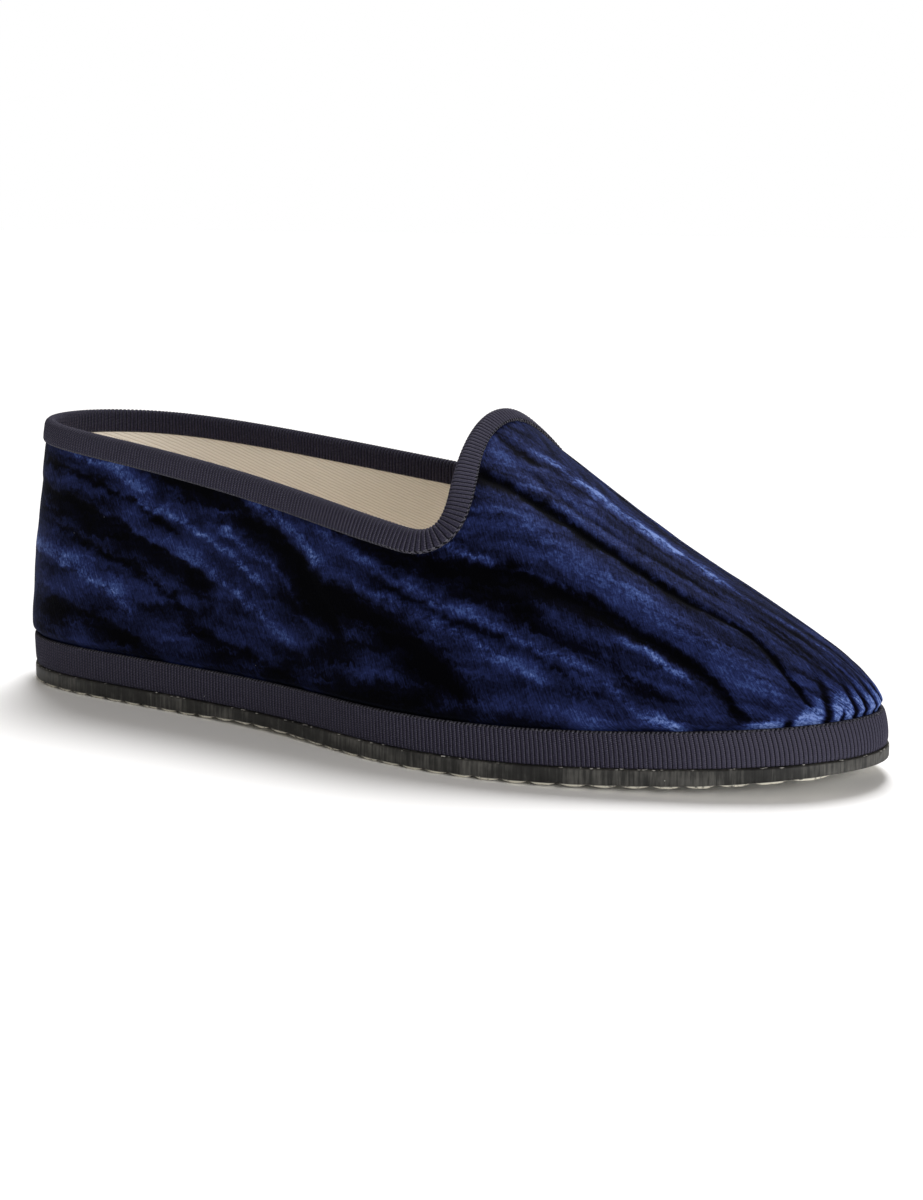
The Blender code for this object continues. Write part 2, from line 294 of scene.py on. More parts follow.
def ring_faces(columns, rows):
    """Quads of a grid closed round its columns and round its rows, with their column and row."""
    i, j = np.meshgrid(np.arange(columns), np.arange(rows), indexing="ij")
    across, up = (i + 1) % columns, (j + 1) % rows
    corners = np.stack([i * rows + j, across * rows + j, across * rows + up, i * rows + up], axis=-1)
    return corners.reshape(-1, 4), i.reshape(-1), j.reshape(-1)


def ring_uv(i, j, along, up):
    """UV of those quads, in metres: the distance along at each column, and up at each row."""
    u = np.stack([along[i], along[i + 1], along[i + 1], along[i]], axis=-1)
    v = np.stack([up[j], up[j], up[j + 1], up[j + 1]], axis=-1)
    return np.stack([u, v], axis=-1)


def run_of(points):
    """Distance along a closed line of points, from 0 at the first to the whole way round."""
    steps = np.linalg.norm(np.roll(points, -1, axis=0) - points, axis=-1)
    return np.r_[0, np.cumsum(steps)]


# The last is drawn with its heel at 0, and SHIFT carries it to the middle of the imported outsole.
_, edge_plan = outline(360)
sole_low, sole_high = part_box("outsole")
SHIFT = np.array([
    (sole_low.x + sole_high.x - LENGTH) / 2,
    (sole_low.y + sole_high.y - edge_plan[:, 1].min() - edge_plan[:, 1].max()) / 2,
    0,
])

# Creases and streaks of the velvet: each runs in mm from the heel at an angle round the section, 0 at
# the outer sole edge, 90 on the ridge and 180 at the inner edge, and is some degrees wide above and
# below that angle. Depth in mm presses the cloth in, or raises it below 0; tone below 0 is darker,
# painted shade in troughs and hollows, and above 0 lighter, painted highlight on raised folds and the
# ridge, over the pile's own patches.
Crease = namedtuple("Crease", "path above below depth tone")
CREASES = (
    # long creases of the outer side, throat to toe, with painted shade in their troughs
    Crease(((150, 60), (166, 66), (190, 68), (208, 67), (229, 61), (243, 33)), 1.3, 1.7, 0.9, -1.15),
    Crease(((166, 42), (177, 46), (190, 48), (213, 43), (222, 37), (230, 23)), 1.5, 3.8, 0.9, -1.00),
    Crease(((176, 36), (190, 34), (204, 30), (216, 24)), 2.2, 2.2, 0.4, -0.40),
    Crease(((150, 77), (156, 79), (165, 80)), 1.8, 1.8, 0.4, -0.60),
    Crease(((166, 75), (183, 75), (198, 76)), 1.0, 1.2, 0.3, -0.40),
    Crease(((200, 78), (214, 78), (228, 76), (236, 70)), 0.9, 1.1, 0.3, -0.40),
    Crease(((170, 83), (190, 84), (207, 83)), 0.8, 0.8, 0.1, -0.30),
    Crease(((206, 72), (222, 70), (232, 65)), 0.9, 0.9, 0.2, -0.30),
    # painted shade in the hollow under the outer corner of the throat, and in lower ones towards the heel
    Crease(((118, 33), (136, 33), (154, 36), (166, 38), (182, 39)), 3.4, 3.4, 0.3, -0.78),
    Crease(((112, 18), (130, 20), (146, 21), (158, 18), (171, 12)), 3.0, 3.4, 0.3, -0.85),
    Crease(((112, 8), (140, 10), (170, 10), (196, 9)), 7.0, 7.0, 0.0, -0.22),
    Crease(((126, 6), (144, 7), (158, 8), (170, 8)), 3.0, 3.0, 0.0, -0.60),
    Crease(((138, 27), (160, 28), (180, 28), (194, 24)), 0.8, 0.8, 0.2, -0.40),
    # raised folds of the outer side, with painted highlight on them
    Crease(((160, 56), (180, 59), (201, 57), (214, 53), (225, 48), (236, 36)), 5.5, 6.5, -0.6, 0.22),
    Crease(((120, 28), (143, 29), (162, 31), (187, 30), (200, 27), (211, 17)), 1.0, 1.6, -0.4, 0.38),
    Crease(((116, 23), (144, 25), (161, 26), (176, 25), (188, 22)), 1.0, 1.8, -0.4, 0.36),
    Crease(((165, 12), (176, 13), (190, 14), (200, 12)), 4.0, 3.4, -0.2, 0.20),
    Crease(((201, 41), (206, 40), (212, 37), (218, 33)), 1.4, 1.4, -0.2, 0.75),
    Crease(((210, 20), (214, 17), (218, 14), (222, 11)), 2.2, 2.8, -0.2, 0.75),
    Crease(((122, 36), (136, 36), (148, 38), (155, 41)), 1.8, 1.4, 0.0, 0.70),
    Crease(((156, 42), (163, 43), (170, 44)), 1.2, 1.2, 0.0, 0.75),
    Crease(((148, 70), (164, 73), (182, 77)), 7.0, 7.0, 0.0, 0.22),
    Crease(((168, 71), (190, 72), (212, 71)), 1.4, 1.4, -0.2, 0.20),
    # soft light along the ridge
    Crease(((158, 83), (166, 86), (176, 88), (190, 90), (206, 89)), 1.3, 1.2, -0.1, 0.50),
    Crease(((172, 87), (184, 89), (200, 90), (212, 89)), 3.6, 3.2, -0.2, 0.66),
    Crease(((204, 90), (221, 89), (231, 92)), 1.2, 1.2, -0.1, 0.35),
    # thin streaks that fan out from the ridge over the toe, painted shade in their troughs and one painted
    # highlight
    Crease(((222, 80), (234, 76), (241, 68)), 1.3, 1.3, 0.3, -0.45),
    Crease(((226, 86), (236, 84), (243, 80)), 1.2, 1.2, 0.3, -0.45),
    Crease(((226, 96), (236, 97), (243, 99)), 1.2, 1.2, 0.3, -0.45),
    Crease(((222, 106), (234, 110), (241, 116)), 1.3, 1.3, 0.3, -0.45),
    Crease(((230, 90), (238, 90), (245, 88)), 1.2, 1.2, -0.1, 0.35),
    # long creases of the inner side, painted shade in their troughs and painted highlight on their raised
    # folds
    Crease(((156, 119), (172, 114), (196, 113), (216, 115), (228, 120), (237, 131)), 1.6, 1.3, 0.8, -0.90),
    Crease(((162, 141), (180, 135), (202, 134), (218, 140), (232, 157)), 3.6, 1.4, 0.9, -0.80),
    Crease(((116, 148), (140, 146), (164, 146), (186, 150)), 3.0, 3.0, 0.3, -0.65),
    Crease(((160, 104), (178, 102), (202, 103), (222, 104)), 1.1, 1.1, 0.3, -0.45),
    Crease(((128, 162), (150, 160), (170, 163), (184, 168)), 2.8, 2.8, 0.3, -0.70),
    Crease(((160, 127), (184, 124), (206, 124), (222, 129), (235, 146)), 5.0, 5.0, -0.5, 0.25),
    Crease(((116, 154), (146, 152), (170, 154), (190, 159), (204, 167)), 1.6, 1.1, -0.4, 0.50),
    Crease(((140, 166), (160, 165), (182, 168)), 2.8, 2.8, -0.2, 0.45),
    Crease(((190, 145), (204, 146), (216, 151)), 1.4, 1.4, -0.2, 0.65),
    Crease(((206, 160), (216, 163), (226, 164)), 2.4, 2.4, -0.2, 0.70),
    # outer quarter: painted highlight on raised streaks and painted shade in their troughs
    Crease(((8, 34), (36, 31), (62, 26)), 2.0, 0.6, -0.3, 0.48),
    Crease(((4, 27), (30, 25), (58, 20), (84, 15)), 0.6, 2.8, 0.3, -0.75),
    Crease(((16, 30), (44, 27), (72, 21)), 0.4, 0.6, 0.2, -0.60),
    Crease(((40, 36), (70, 33), (100, 27), (124, 22)), 1.8, 0.6, -0.3, 0.48),
    Crease(((58, 31), (86, 27), (112, 22), (130, 16)), 0.6, 2.6, 0.3, -0.75),
    Crease(((50, 26), (78, 22), (104, 16)), 0.7, 0.4, -0.1, 0.50),
    Crease(((24, 21), (50, 17), (76, 11)), 0.4, 0.6, 0.2, -0.55),
    Crease(((10, 17), (34, 15), (56, 10)), 1.8, 0.6, -0.2, 0.45),
    Crease(((20, 10), (44, 8), (66, 5)), 0.6, 2.2, 0.2, -0.65),
    Crease(((84, 23), (104, 19), (122, 13)), 0.6, 0.4, -0.1, 0.50),
    Crease(((72, 18), (96, 14), (118, 9)), 1.6, 0.6, -0.2, 0.42),
    Crease(((76, 10), (98, 7), (116, 5)), 0.6, 2.0, 0.1, -0.60),
    # inner quarter: painted highlight on raised streaks and painted shade in their troughs
    Crease(((12, 147), (40, 150), (66, 155)), 0.6, 1.9, -0.3, 0.48),
    Crease(((4, 154), (32, 157), (60, 162), (86, 166)), 2.6, 0.6, 0.3, -0.70),
    Crease(((18, 151), (46, 154), (74, 160)), 0.6, 0.4, 0.2, -0.60),
    Crease(((44, 144), (74, 147), (102, 153), (122, 158)), 0.6, 1.8, -0.3, 0.45),
    Crease(((60, 150), (88, 154), (112, 159), (128, 164)), 2.4, 0.6, 0.3, -0.70),
    Crease(((54, 156), (80, 160), (106, 166)), 0.4, 0.7, -0.1, 0.50),
    Crease(((28, 161), (54, 165), (78, 170)), 0.6, 0.4, 0.2, -0.55),
    Crease(((14, 163), (38, 166), (60, 171)), 0.6, 1.8, -0.2, 0.43),
    Crease(((22, 170), (48, 172), (70, 175)), 2.0, 0.6, 0.2, -0.60),
    Crease(((78, 163), (100, 167), (120, 171)), 0.6, 1.6, -0.2, 0.40),
)
CREASE_FADE = 9 * MM
EVEN_RIDGE = 55 * MM
LONG_WOBBLE = 8 * MM
SHORT_WOBBLE = 2.6 * MM
LONG_FRAY = 2.2 * MM
SHORT_FRAY = 1.1 * MM
RAGGED_SIZE = 3 * MM
UNEVEN = 0.16 * MM
UNEVEN_SIZE = 11 * MM
RIPPLE = 0.06 * MM
RIPPLE_SIZE = 4 * MM
# Pleats gathered over the toe: grooves at a turn round the toe in degrees, 0 straight ahead and
# below 0 to the outer side, between bright folds that stand on the band. The folds are painted
# light and the grooves dark, as painted highlight and painted shade.
Pleat = namedtuple("Pleat", "turn width reach")
PLEATS = (
    Pleat(-58, 2.5, 3 * MM),
    Pleat(-34, 3.0, 14 * MM),
    Pleat(-24, 1.2, 4 * MM),
    Pleat(-14, 2.0, 11 * MM),
    Pleat(-5, 1.8, 11 * MM),
    Pleat(6, 1.8, 10 * MM),
    Pleat(17, 2.0, 10 * MM),
    Pleat(29, 2.2, 11 * MM),
    Pleat(43, 2.8, 13 * MM),
    Pleat(60, 2.6, 4 * MM),
)
PLEAT_HUB = (225 * MM, 4.5 * MM)
PLEAT_DEPTH = 0.5 * MM
PLEAT_FOLD = 7.5 * MM
PLEAT_LOW_FOLD = 2.6 * MM
FOLD_FULL_TURN = 35
FOLD_LOW_TURN = 60
FOLD_FADE_TURN = 76
FOLD_END_TURN = 86
PLEAT_PAINTED_LIGHT = 0.85
FOLD_COVER = 0.7
DEEPEST = 1.2 * MM
VELVET_COLUMNS = 560
VELVET_ROWS = 126
LINING_ROWS = 28
BAND_CLEAR = BAND_THICKNESS + GAP
PUFF = 0.45 * MM
PUFF_TOP = 22 * MM
PUFF_FOOT = 3 * MM
PUFF_CREST = 4 * MM
TUCK_RISE = 1.8 * MM
CREASE_FOOT = 2 * MM
LINING_RISE = 3 * MM
ROW_GATHER = 1.2
EDGE_QUIET = 4 * MM
EDGE_FREE = 9 * MM


def crushed(points):
    """Depth, tone with painted shade and highlight, and lift of the pile: a bell across each crease, and
    lift as the section's angle.
    """
    x, y, z = np.moveaxis(points, -1, 0)
    station, _, rise, middle = section_at(x, z)
    lift = np.degrees(np.arcsin(rise))
    girth = np.maximum(ridge_height(station) / EVEN_RIDGE, 1)
    wobble = 0.6 * value_noise(points / LONG_WOBBLE, 3) + 0.4 * value_noise(points / SHORT_WOBBLE, 4)
    fray = 0.9 * value_noise(points / LONG_FRAY, 5) + 0.9 * value_noise(points / SHORT_FRAY, 6)
    angle = np.where(y < middle, lift, 180 - lift) + wobble
    ragged = value_noise(points / RAGGED_SIZE, 7)
    depth, tone = np.zeros_like(x), np.zeros_like(x)
    for crease in CREASES:
        line_x, line_angle = np.array(crease.path, float).T
        line_x = line_x * MM
        across = angle - smooth(line_x, line_angle, np.clip(x, line_x[0], line_x[-1]))
        width = np.where(across > 0, crease.above, crease.below)
        fade = min(CREASE_FADE, (line_x[-1] - line_x[0]) / 3)
        within = ease(x, line_x[0] - fade, line_x[0] + fade / 2)
        within = within * ease(x, line_x[-1] + fade / 3, line_x[-1] - fade / 2)
        depth = depth + crease.depth * MM * within * np.exp(-((across / width) ** 2))
        bell = within * np.exp(-(((across + fray / girth) / width) ** 2))
        tone = tone + crease.tone * bell * (1 + 0.45 * ragged * (crease.tone > 0))
    turn = np.degrees(np.arctan2(y - PLEAT_HUB[1], x - PLEAT_HUB[0])) + 1.5 * wobble
    above = z - sole_top(x / LENGTH) - BAND_HEIGHT
    groove = np.zeros_like(x)
    for pleat in PLEATS:
        bell = np.exp(-(((turn - pleat.turn) / pleat.width) ** 2))
        groove = np.maximum(groove, bell * ease(above, pleat.reach, 0.3 * pleat.reach))
    fold = PLEAT_LOW_FOLD + (PLEAT_FOLD - PLEAT_LOW_FOLD) * ease(np.abs(turn), FOLD_LOW_TURN, FOLD_FULL_TURN)
    fold = ease(above, fold * (1.1 + 0.3 * ragged), 0.4 * fold)
    fold = fold * ease(np.abs(turn), FOLD_END_TURN, FOLD_FADE_TURN)
    depth = depth + PLEAT_DEPTH * (1.4 * groove - 0.4 * fold)
    # painted highlight on the folds over the toe and painted shade in the pleat grooves
    tone = tone * (1 - FOLD_COVER * fold) + PLEAT_PAINTED_LIGHT * (fold * (1 - groove) - groove)
    depth = depth + UNEVEN * value_noise(points / UNEVEN_SIZE, 21)
    depth = depth + RIPPLE * value_noise(points / RIPPLE_SIZE, 22)
    return DEEPEST * np.tanh(depth / DEEPEST), tone, lift * girth


def upper_grid():
    """Velvet face, then the lining's face behind it: columns by rows, with the pile's tone, painted shade
    and highlight included, and lift.
    """
    station, foot = outline(VELVET_COLUMNS)
    bottom, top = sole_top(station)[:, None], collar_heights(VELVET_COLUMNS)[:, None]
    tucked = np.array([GAP, BAND_HEIGHT * 0.6, BAND_HEIGHT - 0.4 * MM])
    lowest = bottom + BAND_HEIGHT
    share = np.linspace(0, 1, VELVET_ROWS - len(tucked)) ** ROW_GATHER
    heights = np.concatenate([bottom + tucked, lowest + (top - lowest) * share], axis=1)
    points = on_last(heights)
    out = plan_normals(foot)[:, None]
    normal = surface_normals(points)
    depth, tone, lift = crushed(points)
    rise = heights - bottom
    depth = depth * ease(np.linalg.norm(points - points[:, -1:], axis=-1), EDGE_QUIET, EDGE_FREE)
    depth = depth * ease(rise, BAND_HEIGHT * 0.8, BAND_HEIGHT + CREASE_FOOT)
    inset = BAND_CLEAR * ease(rise, BAND_HEIGHT + TUCK_RISE, BAND_HEIGHT - 0.2 * MM)
    puff = PUFF * ease(rise, BAND_HEIGHT, BAND_HEIGHT + PUFF_FOOT)
    puff = puff * ease(rise, PUFF_TOP, BAND_HEIGHT + PUFF_CREST)
    velvet = points - normal * depth[..., None]
    velvet[..., :2] += out * (puff - inset)[..., None]

    lining_heights = bottom + GAP + (top - bottom - GAP) * np.linspace(1, 0, LINING_ROWS)
    lining = on_last(lining_heights)
    lining = lining - surface_normals(lining[:, ::-1])[:, ::-1] * WALL
    low = ease(lining_heights - bottom, BAND_HEIGHT + LINING_RISE, BAND_HEIGHT - 1 * MM)
    lining[..., :2] -= out * (BAND_CLEAR * low)[..., None]
    plain = np.zeros_like(lining_heights)
    tone, lift = (np.concatenate([values, plain], axis=1) for values in (tone, lift))
    return np.concatenate([velvet, lining], axis=1), tone, lift


def add(tree, kind, inputs=None, **settings):
    """A shader node with its settings and inputs; an input that is given a socket is linked."""
    made = tree.nodes.new("ShaderNode" + kind)
    for name, value in settings.items():
        setattr(made, name, value)
    for name, value in (inputs or {}).items():
        if isinstance(value, bpy.types.NodeSocket):
            tree.links.new(value, made.inputs[name])
        else:
            made.inputs[name].default_value = value
    return made


def maths(tree, operation, first, second=0.0, third=0.0):
    """The result of one Math node."""
    return add(tree, "Math", {0: first, 1: second, 2: third}, operation=operation).outputs[0]


def spread(tree, value, low, high, to_low=0.0, to_high=1.0):
    """A value mapped softly from one range to another."""
    inputs = {0: value, 1: low, 2: high, 3: to_low, 4: to_high}
    return add(tree, "MapRange", inputs, interpolation_type="SMOOTHSTEP").outputs[0]


def cloudy(tree, place, scale, detail=2.0, roughness=0.6):
    """The value of a noise texture."""
    inputs = {"Vector": place, "Scale": scale, "Detail": detail, "Roughness": roughness}
    return add(tree, "TexNoise", inputs).outputs["Fac"]


def colours(tree, value, stops):
    """A colour ramp through (position, red, green, blue) rows."""
    made = add(tree, "ValToRGB", {0: value})
    while len(made.color_ramp.elements) < len(stops):
        made.color_ramp.elements.new(1.0)
    for element, (position, *colour) in zip(made.color_ramp.elements, stops):
        element.position = position
        element.color = (*colour, 1)
    return made.outputs[0]


def over(tree, mask, lower, upper):
    """One colour laid over another by a mask."""
    return add(tree, "Mix", {0: mask, 6: lower, 7: upper}, data_type="RGBA").outputs[2]


def finish_surface(tree, surface, colour, roughness, height, strength, distance):
    """Colour, roughness and a bump of the given height, joined to the surface."""
    bump = add(tree, "Bump", {"Strength": strength, "Distance": distance, "Height": height})
    tree.links.new(colour, surface.inputs["Base Color"])
    tree.links.new(roughness, surface.inputs["Roughness"])
    tree.links.new(bump.outputs[0], surface.inputs["Normal"])


def new_material(name, **plain_values):
    """A material with a Principled surface, and its plain values set on the surface's own sockets."""
    material = bpy.data.materials.new(name)
    material.use_nodes = True
    surface = material.node_tree.nodes["Principled BSDF"]
    for label, value in plain_values.items():
        surface.inputs[label.replace("_", " ")].default_value = value
    return material, material.node_tree, surface


def new_group(name, inputs, outputs):
    """An empty shader group: a Vector input, number inputs with their defaults, number outputs."""
    group = bpy.data.node_groups.new(name, "ShaderNodeTree")
    group.interface.new_socket("Vector", in_out="INPUT", socket_type="NodeSocketVector")
    for label, default in inputs.items():
        socket = group.interface.new_socket(label, in_out="INPUT", socket_type="NodeSocketFloat")
        socket.default_value = default
    for label in outputs:
        group.interface.new_socket(label, in_out="OUTPUT", socket_type="NodeSocketFloat")
    given = group.nodes.new("NodeGroupInput").outputs
    result = group.nodes.new("NodeGroupOutput").inputs
    return group, given, result


def join_outputs(group, result, values):
    """Links each named value to the group's output of that name."""
    for label, value in values.items():
        group.links.new(value, result[label])
    return group


def placed(tree, group, inputs):
    """The outputs of a shader group placed in a material with its own values."""
    return add(tree, "Group", inputs, node_tree=group).outputs


def lint_group():
    """Sparse pale specks of lint: the hearts of a few cells of a cell pattern."""
    group, given, result = new_group("lint", {"Scale": 300.0, "Share": 0.03}, ["Mask"])
    cells = add(group, "TexVoronoi", {"Vector": given["Vector"], "Scale": given["Scale"]})
    heart = spread(group, cells.outputs["Distance"], 0.12, 0.05)
    chance = add(group, "SeparateColor", {0: cells.outputs["Color"]}).outputs[0]
    kept = maths(group, "LESS_THAN", chance, given["Share"])
    return join_outputs(group, result, {"Mask": maths(group, "MULTIPLY", heart, kept)})


LINT = lint_group()


def velvet_material():
    """Crushed pile: tone with painted shade and highlight, streaks along the folds and ribs across them pick
    a navy from a ramp.
    """
    material, tree, surface = new_material(
        "crushed velvet",
        Sheen_Weight=0.05,
        Sheen_Roughness=0.3,
        Sheen_Tint=(0.45, 0.55, 0.95, 1),
        Specular_IOR_Level=0.02,
    )
    spot = add(tree, "TexCoord").outputs["Object"]
    # this attribute carries the painted shade of the creases and grooves and the painted highlight of the
    # folds and ridge
    tone = add(tree, "Attribute", attribute_name="tone").outputs["Fac"]
    lift = add(tree, "Attribute", attribute_name="lift").outputs["Fac"]
    x, y, _ = add(tree, "SeparateXYZ", {0: spot}).outputs

    shaken = maths(tree, "SUBTRACT", cloudy(tree, spot, 450, 3), 0.5)
    frayed = maths(tree, "MULTIPLY_ADD", shaken, 6.0, lift)
    slanted = maths(tree, "MULTIPLY_ADD", lift, 0.5 * MM, x)

    def along_folds(start, length, side, degrees):
        scaled = (
            maths(tree, "DIVIDE", part, size)
            for part, size in ((start, length), (y, side), (frayed, degrees))
        )
        return add(tree, "CombineXYZ", dict(enumerate(scaled))).outputs[0]

    patch = cloudy(tree, along_folds(x, 20 * MM, 12 * MM, 5.5), 1, 1, 0.5)
    streak = cloudy(tree, along_folds(x, 12 * MM, 7 * MM, 1.8), 1, 2, 0.55)
    ribs = cloudy(tree, along_folds(slanted, 0.32 * MM, 5 * MM, 2.2), 1, 1, 0.5)
    grain = cloudy(tree, spot, 1300, 3, 0.7)
    stirred = spread(tree, maths(tree, "ABSOLUTE", tone), 0.0, 0.6, 0.35, 0.80)
    ragged = spread(tree, tone, -0.1, 0.7, 0.26, 0.95)
    level = maths(tree, "MULTIPLY_ADD", tone, 0.46, 0.475)
    for noise, amount in ((patch, 0.55), (streak, stirred), (ribs, 0.34), (grain, ragged)):
        level = maths(tree, "MULTIPLY_ADD", maths(tree, "SUBTRACT", noise, 0.5), amount, level)
    pile = colours(tree, level, (
        (0.10, 0.0005, 0.0005, 0.0012),
        (0.32, 0.0016, 0.0018, 0.0060),
        (0.47, 0.0065, 0.0092, 0.0340),
        (0.62, 0.0150, 0.0230, 0.0900),
        (0.80, 0.0430, 0.0740, 0.2300),
        (1.00, 0.1500, 0.2200, 0.4900),
    ))
    lint = placed(tree, LINT, {"Vector": spot, "Scale": 600.0, "Share": 0.010})["Mask"]
    coloured = over(tree, lint, pile, (0.14, 0.15, 0.18, 1))
    rough = spread(tree, level, 0.2, 0.9, 0.8, 0.5)
    height = maths(tree, "ADD", ribs, maths(tree, "MULTIPLY", grain, 0.7))
    finish_surface(tree, surface, coloured, rough, height, 0.5, 0.2 * MM)
    return material


def twill_group():
    """Twill: diagonal furrows at a spacing across the cloth, crossed by fine yarns."""
    group, given, result = new_group(
        "twill", {"Spacing": 1.0 * MM, "Slope": 0.45, "Yarn": 0.4 * MM}, ["Furrow", "Height", "Slub"]
    )
    u, v, _ = add(group, "SeparateXYZ", {0: given["Vector"]}).outputs
    wander = maths(group, "MULTIPLY_ADD", cloudy(group, given["Vector"], 260, 3), 0.5 * MM, v)
    line = maths(group, "MULTIPLY_ADD", u, given["Slope"], wander)
    share = maths(group, "FRACT", maths(group, "DIVIDE", line, given["Spacing"]))
    hill = maths(group, "SINE", maths(group, "MULTIPLY", share, np.pi))
    turn = maths(group, "DIVIDE", maths(group, "MULTIPLY", u, 2 * np.pi), given["Yarn"])
    slub = cloudy(group, given["Vector"], 1900)
    height = maths(group, "POWER", hill, 0.6)
    height = maths(group, "MULTIPLY_ADD", maths(group, "SINE", turn), 0.12, height)
    height = maths(group, "MULTIPLY_ADD", slub, 0.3, height)
    furrow = spread(group, hill, 0.42, 0.05)
    return join_outputs(group, result, {"Furrow": furrow, "Height": height, "Slub": slub})


TWILL = twill_group()


def twill_material(name, slope, shade):
    """Beige cotton twill, its furrows painted darker than its ribs as painted shade; shade dims all three of
    its colours.
    """
    material, tree, surface = new_material(
        name, Sheen_Weight=0.1, Sheen_Roughness=0.5, Specular_IOR_Level=0.2
    )
    cloth = add(tree, "UVMap", uv_map="cloth").outputs[0]
    weave = placed(tree, TWILL, {"Vector": cloth, "Slope": slope, "Spacing": 1.0 * MM})
    pale, deep, furrow = (
        (*(shade * part for part in colour), 1)
        for colour in ((0.99, 0.94, 0.86), (0.95, 0.87, 0.76), (0.56, 0.46, 0.35))
    )
    ground = over(tree, weave["Slub"], deep, pale)
    rough = spread(tree, weave["Slub"], 0.3, 0.7, 0.95, 0.8)
    # painted shade in the twill's furrows
    coloured = over(tree, maths(tree, "MULTIPLY", weave["Furrow"], 0.65), ground, furrow)
    finish_surface(tree, surface, coloured, rough, weave["Height"], 0.8, 0.18 * MM)
    return material


upper_points, upper_tone_and_painted_light, upper_lift = upper_grid()
upper_rows = VELVET_ROWS + LINING_ROWS
upper_faces, upper_i, upper_j = ring_faces(VELVET_COLUMNS, upper_rows)
upper_run = run_of(upper_points[:, VELVET_ROWS // 3])
upper_up = np.r_[0, np.cumsum(np.linalg.norm(np.diff(upper_points[0], axis=0), axis=-1))]
upper = plain_mesh(
    "upper_velvet",
    upper_points + SHIFT,
    upper_faces.tolist(),
    (velvet_material(), twill_material("lining twill", 0.28, 1.0)),
    uv=ring_uv(upper_i, upper_j, upper_run, np.r_[upper_up, upper_up[-1] + WALL]),
    material_index=upper_j >= VELVET_ROWS,
    tone=upper_tone_and_painted_light,
    lift=upper_lift,
)
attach(upper, "root")
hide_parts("upper")

# Insole: a twill-covered board cut to the inside of the upper and laid on the outsole.
# Its edge is rounded over and its middle is a little crowned.
INSOLE_THICKNESS = 2.6 * MM
INSOLE_GAP = 0.35 * MM
INSOLE_CROWN = 0.5 * MM
INSOLE_STATIONS = 120
OUTLINE_POINTS = 720


def edges_at(x, margin):
    """Outer and inner side of the bottom edge at x, moved outwards by a margin."""
    _, points = outline(OUTLINE_POINTS)
    moved = points + plan_normals(points) * margin
    half = OUTLINE_POINTS // 2
    outer, inner = moved[: half + 1], np.concatenate([moved[half:], moved[:1]])[::-1]
    return np.interp(x, *outer.T), np.interp(x, *inner.T)


def slab_mesh(name, sections, material, **attributes):
    """A solid through closed sections that stand across the shoe, with its two ends capped."""
    count, corners = sections.shape[:2]
    i, j = np.meshgrid(np.arange(count - 1) * corners, np.arange(corners), indexing="ij")
    k = (j + 1) % corners
    quads = np.stack([i + j, i + k, i + corners + k, i + corners + j], axis=-1).reshape(-1, 4)
    ring = np.arange(corners)
    caps = [ring[::-1].tolist(), (ring + (count - 1) * corners).tolist()]
    plan = sections.reshape(-1, 3)[:, :2]
    around = np.r_[quads.reshape(-1), caps[0], caps[1]]
    return plain_mesh(name, sections, quads.tolist() + caps, (material,), uv=plan[around], **attributes)


def insole_sections():
    """Sections of the insole: flat floor, rounded edges and a crowned top."""
    margin = -(BAND_CLEAR + WALL + INSOLE_GAP)
    turn = np.pi * (np.arange(INSOLE_STATIONS) + 0.5) / INSOLE_STATIONS
    x = LENGTH / 2 - (LENGTH / 2 + margin) * np.cos(turn)
    outer, inner = edges_at(x, margin)
    share = np.r_[0.02, 0.98, 1.0, 0.995, 0.97, np.linspace(0.9, 0.1, 9), 0.03, 0.005, 0.0]
    level = np.r_[0, 0, 0.45, 0.8, 0.97, np.ones(9), 0.97, 0.8, 0.45]
    across = outer[:, None] + (inner - outer)[:, None] * share
    crown = INSOLE_CROWN * np.sin(np.pi * share) * (level >= 1)
    z = sole_top(x / LENGTH)[:, None] + GAP + INSOLE_THICKNESS * level + crown
    return np.stack([np.broadcast_to(x[:, None], z.shape), across, z], axis=-1)


insole = slab_mesh("insole_twill", insole_sections() + SHIFT, twill_material("insole twill", 0.55, 0.9))
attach(insole, "root")
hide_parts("insole")

# Outsole: black rubber cut out by knife, so its side is scratched from top to bottom. Cross
# ribs underneath end at the side in shallow lobes, rubbed pale where they meet the ground.
RIB_PITCH = 6.7 * MM
RIB_HEIGHT = 0.8 * MM
RIB_WIDTH = 6.0 * MM
FIRST_RIB = 4.3 * MM
RIB_COUNT = 36
RIB_STEPS = 14
ARCH_LIFT = 0.8 * MM
ARCH_START = 0.27
ARCH_END = 0.53
TOE_THINNING = 0.9 * MM
TOE_THIN_LENGTH = 35 * MM
SOLE_PROUD = 0.25 * MM
SOLE_ROUGH = 0.12 * MM
END_LENGTH = 4 * MM
END_CUT = 0.03 * MM
END_STEPS = 16


